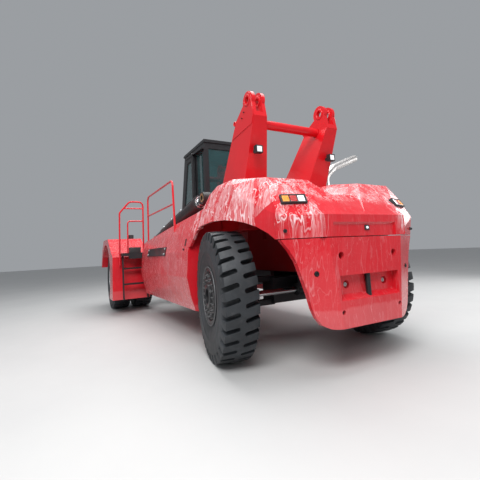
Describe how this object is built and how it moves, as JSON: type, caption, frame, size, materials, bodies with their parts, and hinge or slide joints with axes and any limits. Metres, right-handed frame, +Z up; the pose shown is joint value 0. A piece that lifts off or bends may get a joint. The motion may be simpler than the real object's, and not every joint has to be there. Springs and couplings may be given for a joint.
{
  "type": "reach stacker",
  "caption": "Container reach stacker without its boom: twin front wheels, steered rear wheels, cab between lift cylinders, boom posts over a counterweight.",
  "frame": {"origin": "on the ground under the middle of the machine's box", "axes": "+X forward, to the driven axle and away from the counterweight; +Y to the left; +Z up"},
  "size_m": [8.25, 4.08, 3.7099],
  "materials": {
    "red_paint": "gloss enamel",
    "black_paint": "satin paint",
    "black_steel": "chassis paint",
    "bare_steel": "ground and plated",
    "stainless": "polished",
    "tyre": "new rubber",
    "glass": "tinted",
    "engine_grey": "cast",
    "lamp": "lens and housing",
    "seat_fabric": "woven",
    "silver_paint": "silver paint"
  },
  "bodies": {
    "machine": {"chassis": "red_paint", "boom_posts": "red_paint", "cross_tube": "red_paint", "front_axle": "black_steel", "steer_axle": "black_steel", "engine": "engine_grey", "driveline": "black_steel", "counterweight": "red_paint", "rear_cover": "red_paint", "side_bodies": "red_paint", "front_fenders": "red_paint", "ladders": "black_paint", "platforms": "black_paint", "rear_rails": "red_paint", "front_rails": "red_paint", "deck": "black_paint", "cab_shell": "black_paint", "cab_roof": "black_paint", "cab_glass": "glass", "cab_seat": "seat_fabric", "cab_console": "black_paint", "exhaust": "stainless", "work_lamps": "lamp", "tail_lamps": "lamp", "tow_pin": "black_steel", "front_lamps": "lamp", "lift_brackets": "red_paint"},
    "left_lift_barrel": {"left_lift_barrel": "black_steel"},
    "right_lift_barrel": {"right_lift_barrel": "black_steel"},
    "left_lift_rod": {"left_lift_rod": "bare_steel"},
    "right_lift_rod": {"right_lift_rod": "bare_steel"},
    "left_knuckle": {"left_knuckle": "black_steel"},
    "right_knuckle": {"right_knuckle": "black_steel"},
    "steer_rod": {"steer_rod": "bare_steel"},
    "left_rear_wheel": {"left_rear_tyre": "tyre", "left_rear_rim": "black_paint"},
    "right_rear_wheel": {"right_rear_tyre": "tyre", "right_rear_rim": "black_paint"},
    "left_front_wheels": {"left_front_tyres": "tyre", "left_front_rims": "silver_paint"},
    "right_front_wheels": {"right_front_tyres": "tyre", "right_front_rims": "silver_paint"},
    "left_door": {"left_door": "black_paint"},
    "right_door": {"right_door": "black_paint"},
    "engine_bonnet": {"engine_bonnet": "red_paint"}
  },
  "joints": [
    {"name": "left_steer", "type": "hinge", "parent": "machine", "child": "left_knuckle", "pos_m": [-2.835, 0.925, 0.8375], "axis": [0, 0, 1], "range_deg": [-39.5, 60.5]},
    {"name": "left_rear_spin", "type": "hinge", "parent": "left_knuckle", "child": "left_rear_wheel", "pos_m": [-2.77304, 1.25931, 0.8375], "axis": [0.1822, 0.9833, 0], "continuous": true},
    {"name": "left_front_spin", "type": "hinge", "parent": "machine", "child": "left_front_wheels", "pos_m": [3.165, 1.405, 0.8375], "axis": [0, 1, 0], "continuous": true},
    {"name": "left_door_slide", "type": "slide", "parent": "machine", "child": "left_door", "axis": [-1, 0, 0], "range_m": [0, 0.48]},
    {"name": "left_lift_swing", "type": "hinge", "parent": "machine", "child": "left_lift_barrel", "pos_m": [1.665, 0.95, 1.78], "axis": [0, 1, 0], "range_deg": [0, 70]},
    {"name": "left_lift_stroke", "type": "slide", "parent": "left_lift_barrel", "child": "left_lift_rod", "axis": [-0.9848, 0, 0.1736], "range_m": [0, 1.71]},
    {"name": "right_steer", "type": "hinge", "parent": "machine", "child": "right_knuckle", "pos_m": [-2.835, -0.925, 0.8375], "axis": [0, 0, 1], "range_deg": [-39.5, 60.5]},
    {"name": "right_rear_spin", "type": "hinge", "parent": "right_knuckle", "child": "right_rear_wheel", "pos_m": [-2.89696, -1.25931, 0.8375], "axis": [0.1822, 0.9833, 0], "continuous": true},
    {"name": "right_front_spin", "type": "hinge", "parent": "machine", "child": "right_front_wheels", "pos_m": [3.165, -1.405, 0.8375], "axis": [0, 1, 0], "continuous": true},
    {"name": "right_door_slide", "type": "slide", "parent": "machine", "child": "right_door", "axis": [-1, 0, 0], "range_m": [0, 0.48]},
    {"name": "right_lift_swing", "type": "hinge", "parent": "machine", "child": "right_lift_barrel", "pos_m": [1.665, -0.95, 1.78], "axis": [0, 1, 0], "range_deg": [0, 70]},
    {"name": "right_lift_stroke", "type": "slide", "parent": "right_lift_barrel", "child": "right_lift_rod", "axis": [-0.9848, 0, 0.1736], "range_m": [0, 1.71]},
    {"name": "steer_rod_slide", "type": "slide", "parent": "machine", "child": "steer_rod", "axis": [0, 1, 0], "range_m": [-0.244, 0.161]},
    {"name": "bonnet_hinge", "type": "hinge", "parent": "machine", "child": "engine_bonnet", "pos_m": [-1.847, 0, 2.0783], "axis": [0, -1, 0], "range_deg": [0, 75]}
  ],
  "couplings": [
    {"joint": "right_steer", "follows": "left_steer", "ratio": 1},
    {"joint": "steer_rod_slide", "follows": "left_steer", "m_per_rad": -0.2282},
    {"joint": "left_lift_stroke", "follows": "left_lift_swing", "m_per_rad": 1.3915},
    {"joint": "right_lift_stroke", "follows": "right_lift_swing", "m_per_rad": 1.3915}
  ]
}
